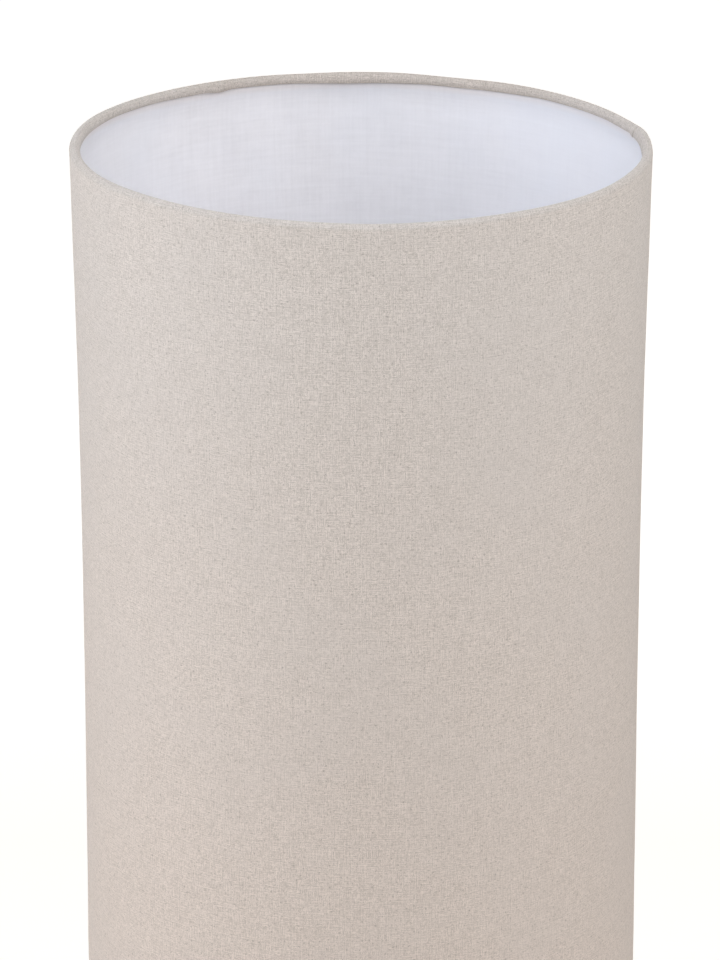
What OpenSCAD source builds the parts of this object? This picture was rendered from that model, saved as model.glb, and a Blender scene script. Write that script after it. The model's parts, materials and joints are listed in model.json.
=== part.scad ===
// Column floor lamp: a full-height fabric cylinder hung from the top of a slim stem,
// with two lamps on side arms inside it and a heavy round base below.
// Millimetres, +Z up, origin on the floor under the middle of the base. The front is -Y.

/* [Shade] */
// Outside diameter over the rolled rims
shade_d = 250; // [200:1:320]
// Height from the lower edge to the upper edge
shade_h = 1120; // [900:5:1400]
// Height of the lower edge above the floor
floor_gap = 30; // [28:1:60]
// How far the rims stand out from the straight wall
shade_flare = 1.8; // [0.5:0.1:3]
// Length in which the flare dies away by two thirds
flare_run = 58; // [30:1:90]
// Thickness of the woven cover
fabric_t = 0.7; // [0.5:0.05:1.2]
// Thickness of the stiff lining
liner_t = 0.55; // [0.5:0.05:1]
// Diameter of the wire in the three hoops
hoop_wire_d = 3; // [2.4:0.1:5]
// How far round the hoop the cover is turned, in degrees
turn_in = 235; // [200:5:240]
// Depth of the carrier's seat below the upper edge
carrier_drop = 130; // [90:1:200]
// Diameter of the carrier's ring wire
carrier_wire_d = 4; // [3:0.1:6]
// Diameter of the carrier's spokes
spoke_d = 3.6; // [2.4:0.1:4]
// Number of carrier spokes
spoke_count = 3; // [3:1:4]
// Diameter of the carrier's hub
hub_d = 38; // [30:1:50]
// Thickness of the carrier's hub
hub_t = 3; // [2:0.1:5]

/* [Stem] */
// Outside diameter of the stem tube
tube_d = 16; // [15:0.5:20]
// Wall of the stem tube
tube_wall = 1; // [0.8:0.1:2]
// Outside diameter of the pipe thread through the stem
thread_d = 10; // [9:0.1:10.5]
// Bore of the threaded pipes
thread_bore_d = 7.2; // [6.6:0.1:7.6]
// Length of each threaded bush in a tube end
bush_l = 12; // [8:0.5:20]
// Diameter of the two branch blocks
branch_d = 28; // [24:0.5:36]
// Height of the two branch blocks
branch_h = 26; // [24:0.5:40]
// Height of the turned seat under the carrier
seat_h = 14; // [10:0.5:20]
// Diameter of the turned seat's flange
seat_d = 28; // [22:0.5:34]

/* [Arms] */
// Distance of each lamp from the middle of the stem
arm_reach = 52; // [46:0.5:70]
// Outside diameter of the arm tube
arm_d = 10; // [9:0.1:11]
// Wall of the arm tube
arm_wall = 1; // [0.8:0.1:1.2]
// Radius of the arm's bend
arm_bend_r = 20; // [16:0.5:24]
// Straight run of the arm between its bend and the lampholder
arm_rise = 4; // [2:0.5:12]
// Diameter of each supply lead
lead_d = 2.6; // [2:0.1:2.8]

/* [Lampholders and bulbs] */
// Depth of the upper bulb's middle below the carrier's seat
upper_bulb_drop = 240; // [160:1:320]
// Height between the two bulbs
bulb_pitch = 380; // [300:1:460]
// Diameter of the bulb
bulb_d = 60; // [50:1:66]
// Length of the bulb with its cap
bulb_l = 108; // [100:1:120]
// Outside diameter of the lampholder
holder_d = 39; // [38:0.5:44]
// Height of the lampholder
holder_h = 54; // [52:0.5:60]
// Height of the lampholder's lower cup
holder_cup_h = 20; // [18:0.5:22]
// Wall of the lampholder
holder_wall = 2; // [1.6:0.1:2.4]
// Diameter over the bulb cap's screw
screw_d = 26.4; // [26:0.1:26.6]
// Rise of one turn of the bulb cap's screw
screw_pitch = 3.62; // [3.2:0.01:4]

/* [Base] */
// Diameter of the base
base_d = 240; // [200:1:249]
// Height of the base from the floor
base_h = 20; // [19:0.5:24]
// Thickness of the spun cover
cover_t = 1.2; // [0.8:0.1:2]
// Radius of the cover's upper edge
cover_edge_r = 5; // [3:0.5:5]
// Thickness of the pad under the base
pad_t = 2; // [1.5:0.1:4]
// Diameter of the opening in the pad
pad_hole_d = 90; // [82:1:120]
// Diameter of the recess under the weight
recess_d = 80; // [72:1:88]
// Depth of the recess under the weight
recess_h = 12; // [11:0.5:13]
// Diameter of the supply cable that the inlet is made for
cable_d = 7; // [5:0.1:7.4]
// Height of the cable inlet's middle above the floor
inlet_z = 8.6; // [8.4:0.1:9]
// Height of the turned collar round the foot of the stem
collar_h = 14; // [10:0.5:20]
// Diameter of the turned collar
collar_d = 30; // [24:0.5:40]

/* [Finial] */
// Diameter over the knurl
finial_d = 22; // [20:0.5:28]
// Height of the finial
finial_h = 18; // [16:0.5:24]
// Number of grooves in the knurl
knurl_count = 30; // [18:1:36]

/* [Hidden] */
$fn = 96;
thread_gap = 0.03;    // between a thread and its nut, both drawn plain
slip_gap = 0.05;      // round a tube in its seat, and round a hoop in its turned edge
running_gap = 0.05;   // round the stud in the finial
hub_gap = 0.25;       // round the stud in the carrier's hub
bond_gap = 0.1;       // glue between the lining and what is bonded to it
screw_gap = 0.3;      // round the bulb's cap in its sleeve
rest_gap = 0.3;       // under the bulb's contact
cable_gap = 0.1;      // round the cable in its inlet

shade_top = floor_gap + shade_h;
hoop_wire_r = hoop_wire_d / 2;
roll_in = hoop_wire_r + slip_gap;
roll_out = roll_in + fabric_t;
hoop_r = shade_d / 2 - roll_out;
top_hoop_z = shade_top - roll_out;
low_hoop_z = floor_gap + roll_out;
mid_hoop_z = (top_hoop_z + low_hoop_z) / 2;
wall_r = shade_d / 2 - shade_flare;
flare_steps = 14;
flare_depth = 5 * flare_run;
arc_step = 15;

seat_z = shade_top - carrier_drop;
stem_top = seat_z - seat_h;
stud_top = seat_z + hub_t + 9;
carrier_z = seat_z + hub_t / 2;

tube_r = tube_d / 2;
tube_bore_r = tube_r - tube_wall;
thread_r = thread_d / 2;
nut_bore_r = thread_r + thread_gap;

holder_r = holder_d / 2;
insert_top = holder_cup_h + 6;
insert_foot = holder_cup_h - 8;
insert_flange_t = 2;
contact_t = 1.5;
bulb_foot = insert_top + contact_t + rest_gap;
bulb_mid = bulb_foot + bulb_l - bulb_d / 2;
bulb_seam = 12;       // depth of the globe's edge below the bulb's middle
cap_foot = 3.2;       // height of the bulb cap's shell above its contact
cap_l = 23;           // length of the bulb cap's shell
screw_r = screw_d / 2;
screw_depth = 0.9;

holder_rise = arm_bend_r + arm_rise;
upper_bulb_z = seat_z - upper_bulb_drop;
lower_bulb_z = upper_bulb_z - bulb_pitch;
upper_holder_z = upper_bulb_z - bulb_mid;
lower_holder_z = lower_bulb_z - bulb_mid;
upper_branch_z = upper_holder_z - holder_rise;
lower_branch_z = lower_holder_z - holder_rise;
branch_r = branch_d / 2;
passage = 6;          // half height of the open space inside a branch block
arm_r = arm_d / 2;
arm_inset = 7;        // how far from the stem's middle the arm begins
arm_nut_t = 4;

base_r = base_d / 2;
cover_in_r = base_r - cover_t;
cover_foot = pad_t + 0.5;
weight_r = cover_in_r - 0.3;
weight_top = base_h - cover_t;
recess_top = pad_t + recess_h;
washer_t = 1;
nut_t = 4;
collar_floor = 4;
stem_foot = base_h + collar_floor;
nipple_foot = recess_top - washer_t - nut_t - 1.5;

inlet_r = cable_d / 2 + cable_gap;
bush_wall = 1.4;
inlet_hole_r = inlet_r + bush_wall + slip_gap;
flange_r = inlet_r + bush_wall + 0.8;
flange_t = 1.6;
flange_y = base_r + 0.05;
groove_w = cover_t + 0.25;
tail_l = 4;
channel_w = 2 * flange_r + 0.8;

block = [18, 15, 9];
block_y = 24;
lead_r = lead_d / 2;
lead_x = 1.6;

fabric_colour = [0.80, 0.76, 0.73];
liner_colour = [0.93, 0.93, 0.95];
white_metal = [0.90, 0.90, 0.88];
nickel = [0.66, 0.64, 0.61];
zinc = [0.62, 0.64, 0.66];
brass = [0.80, 0.66, 0.36];
iron = [0.30, 0.30, 0.31];
rubber_black = [0.13, 0.13, 0.13];
ivory = [0.90, 0.88, 0.82];

// ---- Shared shapes and places

// A plain tube along +Z
module pipe(r, bore, l) {
    difference() {
        cylinder(r = r, h = l);
        translate([0, 0, -1]) cylinder(r = bore, h = l + 2);
    }
}

// A hexagonal nut with its lower face at z = 0
module hex_nut(across, bore, t) {
    difference() {
        cylinder(d = across / cos(30), h = t, $fn = 6);
        translate([0, 0, -1]) cylinder(r = bore, h = t + 2);
    }
}

// A round wire bent into a closed hoop
module wire_hoop(hoop, wire) {
    rotate_extrude() translate([hoop, 0]) circle(r = wire);
}

// Points on an arc about a centre, from one angle to another
function arc(centre, r, from, to, steps) =
    [for (i = [0:steps]) let (a = from + (to - from) * i / steps) centre + r * [cos(a), sin(a)]];

function reversed(list) = [for (i = [len(list) - 1:-1:0]) list[i]];

module at_lower_lamp() {
    translate([arm_reach, 0, lower_holder_z]) children();
}

module at_upper_lamp() {
    translate([-arm_reach, 0, upper_holder_z]) children();
}

// ---- Base

module floor_pad() {
    color(rubber_black) pipe(base_r - 6, pad_hole_d / 2, pad_t);
}

module base_weight() {
    color(iron) difference() {
        rotate_extrude() polygon([
            [0, pad_t], [weight_r - 2, pad_t], [weight_r, pad_t + 2],
            [weight_r, weight_top - cover_edge_r], [weight_r - cover_edge_r, weight_top], [0, weight_top]
        ]);
        translate([0, 0, pad_t - 1]) cylinder(d = recess_d, h = recess_h + 1);
        cylinder(r = thread_r + 0.4, h = base_h);
        translate([-channel_w / 2, 0, pad_t - 1])
            cube([channel_w, base_r, inlet_z + flange_r + 0.4 - pad_t + 1]);
    }
}

module base_cover() {
    edge_centre = [base_r - cover_edge_r, base_h - cover_edge_r];
    color(nickel) difference() {
        rotate_extrude() polygon(concat(
            [[nut_bore_r + 0.2, base_h]],
            arc(edge_centre, cover_edge_r, 90, 0, 8),
            [[base_r, cover_foot], [cover_in_r, cover_foot]],
            arc(edge_centre, cover_edge_r - cover_t, 0, 90, 8),
            [[nut_bore_r + 0.2, weight_top]]
        ));
        translate([0, base_r - 20, inlet_z]) rotate([-90, 0, 0]) cylinder(r = inlet_hole_r, h = 30);
    }
}

// Rubber bush: an outer flange, a groove for the cover's wall, an inner flange and a short tail
module cable_grommet() {
    groove_r = inlet_hole_r - slip_gap;
    y1 = -groove_w;
    y2 = y1 - flange_t;
    color(rubber_black) translate([0, flange_y, inlet_z]) rotate([-90, 0, 0]) rotate_extrude() polygon([
        [inlet_r, flange_t], [flange_r - 0.5, flange_t], [flange_r, flange_t - 0.5], [flange_r, 0],
        [groove_r, 0], [groove_r, y1], [flange_r - 0.2, y1], [flange_r - 0.2, y2],
        [groove_r, y2 - 0.6], [groove_r - 0.6, y2 - tail_l], [inlet_r, y2 - tail_l]
    ]);
}

module base_washer() {
    color(zinc) translate([0, 0, recess_top - washer_t]) pipe(14, thread_r + 0.3, washer_t);
}

module base_nut() {
    color(zinc) translate([0, 0, recess_top - washer_t - nut_t]) hex_nut(14, nut_bore_r, nut_t);
}

module base_nipple() {
    color(zinc) translate([0, 0, nipple_foot])
        pipe(thread_r, thread_bore_d / 2, stem_foot + bush_l - nipple_foot);
}

module base_collar() {
    color(nickel) translate([0, 0, base_h]) rotate_extrude() polygon([
        [nut_bore_r + 0.2, 0], [collar_d / 2 - 0.6, 0], [collar_d / 2, 0.6], [collar_d / 2, 3],
        [tube_r + 4, 5.5], [tube_r + 3, collar_h - 1], [tube_r + 2, collar_h],
        [tube_r + slip_gap, collar_h], [tube_r + slip_gap, collar_floor], [nut_bore_r + 0.2, collar_floor]
    ]);
}

// Two-way screw terminal under the recess's ceiling
module terminal_block() {
    color(ivory) translate([-block[0] / 2, block_y - block[1] / 2, recess_top - block[2]]) difference() {
        cube(block);
        translate([block[0] / 2 - 1, -1, -1]) cube([2, block[1] + 2, 4]);
        for (x = [block[0] / 4, 3 * block[0] / 4]) {
            translate([x, -1, block[2] / 2]) rotate([-90, 0, 0]) cylinder(r = 1.6, h = block[1] + 2);
            for (y = [4, block[1] - 4]) translate([x, y, -1]) cylinder(r = 1.7, h = block[2] / 2 + 1);
        }
    }
}

module terminal_screws() {
    color(zinc) for (x = [-block[0] / 4, block[0] / 4], y = [4, block[1] - 4])
        translate([x, block_y - block[1] / 2 + y, recess_top - block[2] + 0.6]) difference() {
            cylinder(r = 1.65, h = 3);
            translate([-2, -0.3, -1]) cube([4, 0.6, 1.8]);
        }
}

// ---- Stem

module stem_tube(from, to) {
    color(white_metal) translate([0, 0, from]) pipe(tube_r, tube_bore_r, to - from);
}

module stem_lower() {
    stem_tube(stem_foot, lower_branch_z - branch_h / 2);
}

module stem_middle() {
    stem_tube(lower_branch_z + branch_h / 2, upper_branch_z - branch_h / 2);
}

module stem_upper() {
    stem_tube(upper_branch_z + branch_h / 2, stem_top);
}

// Threaded bushes pressed into the six tube ends
module tube_bushes() {
    feet = [
        stem_foot, lower_branch_z - branch_h / 2 - bush_l,
        lower_branch_z + branch_h / 2, upper_branch_z - branch_h / 2 - bush_l,
        upper_branch_z + branch_h / 2, stem_top - bush_l
    ];
    color(zinc) for (z = feet) translate([0, 0, z]) pipe(tube_bore_r - thread_gap, nut_bore_r, bush_l);
}

// Short threaded pipes that join the tubes to the branch blocks
module branch_nipples() {
    l = bush_l + branch_h / 2 - passage;
    color(zinc) for (z = [lower_branch_z, upper_branch_z], side = [-1, 1])
        translate([0, 0, z + side * (passage + l / 2) - l / 2]) pipe(thread_r, thread_bore_d / 2, l);
}

// Turned block with a threaded way through it and a side hole for its arm
module branch_block(side) {
    chamfer = 1.2;
    half = branch_h / 2;
    color(white_metal) difference() {
        rotate_extrude() polygon([
            [0, -half], [branch_r - chamfer, -half], [branch_r, chamfer - half],
            [branch_r, half - chamfer], [branch_r - chamfer, half], [0, half]
        ]);
        translate([0, 0, -half - 1]) cylinder(r = nut_bore_r, h = branch_h + 2);
        rotate([0, side * 90, 0]) cylinder(r = arm_r + thread_gap, h = branch_r + 1);
    }
}

module lower_branch() {
    translate([0, 0, lower_branch_z]) branch_block(1);
}

module upper_branch() {
    translate([0, 0, upper_branch_z]) branch_block(-1);
}

// Outline of an arm along +X with its bend upwards, as a solid rod
module bent_rod(r, start, top) {
    rotate([0, 90, 0]) translate([0, 0, start]) cylinder(r = r, h = arm_reach - arm_bend_r - start);
    translate([arm_reach - arm_bend_r, 0, arm_bend_r]) rotate([90, 0, 0])
        rotate_extrude(angle = 90, start = 270) translate([arm_bend_r, 0]) circle(r = r);
    translate([arm_reach, 0, arm_bend_r]) cylinder(r = r, h = top - arm_bend_r);
}

module arm_tube() {
    reach_in = 7;
    color(white_metal) difference() {
        bent_rod(arm_r, arm_inset, holder_rise + reach_in);
        bent_rod(arm_r - arm_wall, arm_inset - 1, holder_rise + reach_in + 1);
    }
}

module lower_arm() {
    translate([0, 0, lower_branch_z]) arm_tube();
}

module upper_arm() {
    translate([0, 0, upper_branch_z]) rotate(180) arm_tube();
}

// Lock nuts that hold the arms in the branch blocks
module arm_nuts() {
    color(zinc) for (place = [[lower_branch_z, 0], [upper_branch_z, 180]])
        translate([0, 0, place[0]]) rotate(place[1]) rotate([0, 90, 0]) translate([0, 0, branch_r])
            hex_nut(15, arm_r + thread_gap, arm_nut_t);
}

// Turned seat on top of the stem, on which the shade's carrier rests
module carrier_seat() {
    color(white_metal) translate([0, 0, stem_top]) rotate_extrude() polygon([
        [nut_bore_r, 0], [tube_r, 0], [tube_r + 1, 1.5], [tube_r + 1, seat_h - 8],
        [seat_d / 2 - 0.5, seat_h - 3], [seat_d / 2, seat_h - 2.4], [seat_d / 2, seat_h - 0.5],
        [seat_d / 2 - 0.5, seat_h], [nut_bore_r, seat_h]
    ]);
}

module top_stud() {
    color(zinc) translate([0, 0, stem_top - bush_l]) difference() {
        pipe(thread_r, thread_bore_d / 2, stud_top - stem_top + bush_l);
        translate([0, 0, stud_top - stem_top + bush_l]) rotate_extrude()
            polygon([[thread_r - 0.8, 0], [thread_r + 1, 1], [thread_r + 1, -1.8], [thread_r, -0.8]]);
    }
}

// ---- Supply leads, clipped inside the stem all the way

function unit(v) = v / norm(v);

function tangent(path, i) = i == 0 ? unit(path[1] - path[0])
    : i == len(path) - 1 ? unit(path[i] - path[i - 1])
    : unit(unit(path[i + 1] - path[i]) + unit(path[i] - path[i - 1]));

// A direction square to the path at each point, carried along without twisting
function sides(path, i, last, made) = i == len(path) ? made
    : let (t = tangent(path, i), s = unit(last - (last * t) * t)) sides(path, i + 1, s, concat(made, [s]));

// A round tube through the points of a path
module sweep(path, r, corners) {
    across = sides(path, 0, [1, 0.01, 0], []);
    rings = [for (i = [0:len(path) - 1]) let (t = tangent(path, i), u = across[i], v = cross(t, u))
        for (k = [0:corners - 1]) path[i] + r * (cos(360 * k / corners) * u + sin(360 * k / corners) * v)];
    last = len(path) - 1;
    walls = [for (i = [0:last - 1], k = [0:corners - 1]) let (
            a = i * corners + k, b = i * corners + (k + 1) % corners
        ) each [[a, a + corners, b], [b, a + corners, b + corners]]];
    start_cap = [for (k = [1:corners - 2]) [0, k, k + 1]];
    end_cap = [for (k = [1:corners - 2]) let (n = last * corners) [n, n + k + 1, n + k]];
    polyhedron(points = rings, faces = concat(start_cap, walls, end_cap));
}

// From the terminal block, up the stem and out along an arm on the given side
function lead_route(side, branch_z) = let (
        x = side * lead_x, bend_x = arm_reach - arm_bend_r, end_z = branch_z + holder_rise + insert_foot - 0.3
    ) concat(
        [[side * block[0] / 4, block_y - block[1] / 2, recess_top - block[2] / 2],
         [side * block[0] / 4, 12, recess_top - block[2] / 2 - 1],
         [side * 3, 7, nipple_foot - 3], [x, 3, nipple_foot - 3.4], [x, 0.6, nipple_foot - 2.2],
         [x, 0, nipple_foot + 1], [x, 0, branch_z - 10],
         [side * 1.9, 0, branch_z - 4], [side * 3.2, 0, branch_z - 1.2], [side * 6, 0, branch_z]],
        [for (a = [0:15:90])
            [side * (bend_x + arm_bend_r * sin(a)), 0, branch_z + arm_bend_r * (1 - cos(a))]],
        [[side * arm_reach, 0, end_z]]
    );

module lower_lead() {
    color(ivory) sweep(lead_route(1, lower_branch_z), lead_r, 8);
}

module upper_lead() {
    color(ivory) sweep(lead_route(-1, upper_branch_z), lead_r, 8);
}

// ---- Lampholder, standing on z = 0

module holder_cup() {
    in_r = holder_r - holder_wall;
    ledge_z = holder_cup_h - insert_flange_t;
    color(ivory) rotate_extrude() polygon(concat(
        [[arm_r + thread_gap, 0], [arm_r + 3, 0], [arm_r + 3, 3]],
        arc([holder_r - 8, 11], 8, -70, 0, 6),
        [[holder_r, holder_cup_h], [in_r, holder_cup_h], [in_r, ledge_z], [in_r - 1.5, ledge_z]],
        arc([holder_r - 8, 11], 8 - holder_wall - 1.5, 0, -60, 5),
        [[arm_r + 3, 6], [arm_r + thread_gap, 6]]
    ));
}

module holder_insert() {
    r = screw_r + screw_gap + 1.2;
    flange = holder_r - holder_wall - slip_gap;
    color(ivory) rotate_extrude() polygon([
        [0, insert_foot], [r - 2, insert_foot], [r - 2, holder_cup_h - insert_flange_t - 1],
        [r - 1, holder_cup_h - insert_flange_t], [flange, holder_cup_h - insert_flange_t],
        [flange, holder_cup_h], [r, holder_cup_h], [r, insert_top], [0, insert_top]
    ]);
}

// Screw-on skirt with a grip of shallow flutes and an open mouth
module holder_skirt() {
    in_r = screw_r + screw_gap + 1.3;
    flutes = 24;
    color(ivory) difference() {
        rotate_extrude() polygon([
            [in_r, holder_cup_h], [holder_r, holder_cup_h], [holder_r, holder_h - 8],
            [holder_r - 1.2, holder_h - 2], [holder_r - 2.2, holder_h], [in_r, holder_h]
        ]);
        for (i = [0:flutes - 1]) rotate(i * 360 / flutes) translate([holder_r + 0.8, 0, holder_cup_h + 4])
            cylinder(r = 1.4, h = holder_h - holder_cup_h - 16, $fn = 32);
    }
}

// Rounded screw profile between two heights, as points on its crest side
function screw_line(r, from, turns) = [for (i = [0:8 * turns])
    [r - screw_depth / 2 * (1 - cos(45 * i)), from + screw_pitch * i / 8]];

module screw_sleeve() {
    in_r = screw_r + screw_gap;
    line = screw_line(in_r + 1.1, insert_top + 1, 6);
    color(brass) rotate_extrude() polygon(concat(
        [[in_r, insert_top], [in_r + 1.1, insert_top]], line,
        [[in_r + 1.1, insert_top + 24], [in_r, insert_top + 24]]
    ));
}

module centre_contact() {
    color(brass) translate([0, 0, insert_top]) rotate_extrude()
        polygon([[0, 0], [4.5, 0], [4.5, 0.5], [3, contact_t], [0, contact_t]]);
}

module lower_holder_cup() {
    at_lower_lamp() holder_cup();
}

module lower_holder_skirt() {
    at_lower_lamp() holder_skirt();
}

module lower_holder_insert() {
    at_lower_lamp() holder_insert();
}

module lower_screw_sleeve() {
    at_lower_lamp() screw_sleeve();
}

module lower_centre_contact() {
    at_lower_lamp() centre_contact();
}

module upper_holder_cup() {
    at_upper_lamp() holder_cup();
}

module upper_holder_skirt() {
    at_upper_lamp() holder_skirt();
}

module upper_holder_insert() {
    at_upper_lamp() holder_insert();
}

module upper_screw_sleeve() {
    at_upper_lamp() screw_sleeve();
}

module upper_centre_contact() {
    at_upper_lamp() centre_contact();
}

// ---- Bulb, placed from the lampholder's foot

module bulb_globe() {
    edge = asin(bulb_seam / (bulb_d / 2));
    wall = 1.2;
    color([0.97, 0.96, 0.93]) translate([0, 0, bulb_mid]) rotate_extrude() polygon(concat(
        arc([0, 0], bulb_d / 2, -edge, 90, 24), arc([0, 0], bulb_d / 2 - wall, 90, -edge, 24)
    ));
}

// Plastic body between the cap and the globe, narrowing to a neck
module bulb_collar() {
    foot_z = bulb_foot + cap_foot + cap_l;
    top_z = bulb_mid - bulb_seam;
    top_r = sqrt(pow(bulb_d / 2, 2) - pow(bulb_seam, 2));
    neck_r = screw_r + 0.4;
    wall = 1.5;
    steps = 12;
    line = [for (i = [0:steps]) let (t = i / steps)
        [neck_r + (top_r - neck_r) * (t + 0.16 * sin(180 * t)), foot_z + (top_z - foot_z) * t]];
    inner = [for (i = [steps:-1:0]) line[i] - [wall, 0]];
    color("white") rotate_extrude() polygon(concat(line, inner));
}

module bulb_cap() {
    foot_z = bulb_foot + cap_foot;
    line = screw_line(screw_r, foot_z + 0.8, 6);
    color(zinc) rotate_extrude() polygon(concat(
        [[8.4, foot_z - 0.6], [screw_r - screw_depth, foot_z]], line,
        [[screw_r, foot_z + cap_l], [screw_r - 1.8, foot_z + cap_l], [screw_r - 1.8, foot_z + 1.2],
         [8.4, foot_z + 0.6]]
    ));
}

// Insulator with the centre contact below it
module bulb_base() {
    color(rubber_black) translate([0, 0, bulb_foot]) rotate_extrude() polygon([
        [0, 0], [3.6, 0], [4.6, 0.6], [4.6, 1.2], [5, 1.2], [8.3, cap_foot - 0.6],
        [8.3, cap_foot + 1.6], [0, cap_foot + 1.6]
    ]);
}

module lower_bulb_globe() {
    at_lower_lamp() bulb_globe();
}

module lower_bulb_collar() {
    at_lower_lamp() bulb_collar();
}

module lower_bulb_cap() {
    at_lower_lamp() bulb_cap();
}

module lower_bulb_base() {
    at_lower_lamp() bulb_base();
}

module upper_bulb_globe() {
    at_upper_lamp() bulb_globe();
}

module upper_bulb_collar() {
    at_upper_lamp() bulb_collar();
}

module upper_bulb_cap() {
    at_upper_lamp() bulb_cap();
}

module upper_bulb_base() {
    at_upper_lamp() bulb_base();
}

// ---- Shade

// How far the cover's outer face stands out at a height: a straight wall that eases out to both rims
function outer_r(z) = wall_r
    + shade_flare * (exp(-(top_hoop_z - z) / flare_run) + exp(-(z - low_hoop_z) / flare_run));

// Heights up the wall, close together where the flare bends most
wall_heights = concat(
    [for (i = [0:flare_steps]) low_hoop_z + flare_depth * pow(i / flare_steps, 2)],
    [for (i = [flare_steps:-1:0]) top_hoop_z - flare_depth * pow(i / flare_steps, 2)]
);

// One face of the cover, from its lower tucked edge up the wall and round the upper hoop
function cover_line(depth) = concat(
    reversed(arc([hoop_r, low_hoop_z], roll_out - depth, 0, -turn_in, ceil(turn_in / arc_step))),
    [for (i = [1:len(wall_heights) - 2]) [outer_r(wall_heights[i]) - depth, wall_heights[i]]],
    arc([hoop_r, top_hoop_z], roll_out - depth, 0, turn_in, ceil(turn_in / arc_step))
);

module shade_fabric() {
    color(fabric_colour) rotate_extrude() polygon(concat(cover_line(0), reversed(cover_line(fabric_t))));
}

liner_out = fabric_t + bond_gap;
liner_in = liner_out + liner_t;
liner_edge = roll_in + 0.15;   // distance of the lining's edges from the hoops' middles

function liner_face(depth) = concat(
    [[outer_r(low_hoop_z + liner_edge) - depth, low_hoop_z + liner_edge]],
    [for (z = wall_heights) if (z > low_hoop_z + liner_edge + 0.2 && z < top_hoop_z - liner_edge - 0.2)
        [outer_r(z) - depth, z]],
    [[outer_r(top_hoop_z - liner_edge) - depth, top_hoop_z - liner_edge]]
);

module shade_liner() {
    color(liner_colour) rotate_extrude()
        polygon(concat(liner_face(liner_out), reversed(liner_face(liner_in))));
}

module top_hoop() {
    color(white_metal) translate([0, 0, top_hoop_z]) wire_hoop(hoop_r, hoop_wire_r);
}

// Keeps the long cylinder round half way up
module middle_hoop() {
    color(white_metal) translate([0, 0, mid_hoop_z])
        wire_hoop(outer_r(mid_hoop_z) - liner_in - bond_gap - hoop_wire_r, hoop_wire_r);
}

module bottom_hoop() {
    color(white_metal) translate([0, 0, low_hoop_z]) wire_hoop(hoop_r, hoop_wire_r);
}

carrier_wire_r = carrier_wire_d / 2;
carrier_ring_r = outer_r(carrier_z) - liner_in - bond_gap - carrier_wire_r;

module carrier_ring() {
    color(white_metal) translate([0, 0, carrier_z]) wire_hoop(carrier_ring_r, carrier_wire_r);
}

// Spokes welded between the hub and the ring, each end shaped to what it meets
module carrier_spokes() {
    color(white_metal) difference() {
        for (i = [0:spoke_count - 1]) rotate(90 + i * 360 / spoke_count)
            translate([hub_d / 2 - 2, 0, carrier_z]) rotate([0, 90, 0])
                cylinder(d = spoke_d, h = carrier_ring_r - carrier_wire_r / 2 - hub_d / 2 + 2);
        translate([0, 0, carrier_z]) wire_hoop(carrier_ring_r, carrier_wire_r);
        translate([0, 0, seat_z - 5]) cylinder(d = hub_d, h = hub_t + 10);
    }
}

module carrier_hub() {
    color(white_metal) translate([0, 0, seat_z]) pipe(hub_d / 2, thread_r + hub_gap, hub_t);
}

// ---- Finial: a knurled cap nut that holds the carrier down

module finial() {
    knurl_r = finial_d / 2;
    bore_l = stud_top - seat_z - hub_t + 2;
    color(nickel) translate([0, 0, seat_z + hub_t]) difference() {
        rotate_extrude() polygon(concat(
            [[0, 0], [knurl_r - 2.2, 0], [knurl_r - 2, 0.3], [knurl_r - 2, 2], [knurl_r, 2.6],
             [knurl_r, finial_h - 8.6], [knurl_r - 0.8, finial_h - 8], [knurl_r - 2, finial_h - 8]],
            [for (a = [10:10:90]) [(knurl_r - 2) * cos(a), finial_h - 8 + 8 * sin(a)]]
        ));
        translate([0, 0, -1]) cylinder(r = thread_r + running_gap, h = bore_l + 1);
        for (i = [0:knurl_count - 1]) rotate(i * 360 / knurl_count) translate([knurl_r + 0.35, 0, 2.2])
            cylinder(r = 0.8, h = finial_h - 10, $fn = 24);
    }
}

// ---- The assembly

floor_pad();
base_weight();
base_cover();
cable_grommet();
base_washer();
base_nut();
base_nipple();
base_collar();
terminal_block();
terminal_screws();
stem_lower();
stem_middle();
stem_upper();
tube_bushes();
branch_nipples();
lower_branch();
upper_branch();
lower_arm();
upper_arm();
arm_nuts();
lower_lead();
upper_lead();
carrier_seat();
top_stud();
lower_holder_cup();
lower_holder_skirt();
lower_holder_insert();
lower_screw_sleeve();
lower_centre_contact();
upper_holder_cup();
upper_holder_skirt();
upper_holder_insert();
upper_screw_sleeve();
upper_centre_contact();
lower_bulb_globe();
lower_bulb_collar();
lower_bulb_cap();
lower_bulb_base();
upper_bulb_globe();
upper_bulb_collar();
upper_bulb_cap();
upper_bulb_base();
shade_fabric();
shade_liner();
top_hoop();
middle_hoop();
bottom_hoop();
carrier_ring();
carrier_spokes();
carrier_hub();
finial();
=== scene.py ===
import bpy
import bmesh
import json
import math
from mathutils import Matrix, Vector, noise


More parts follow.
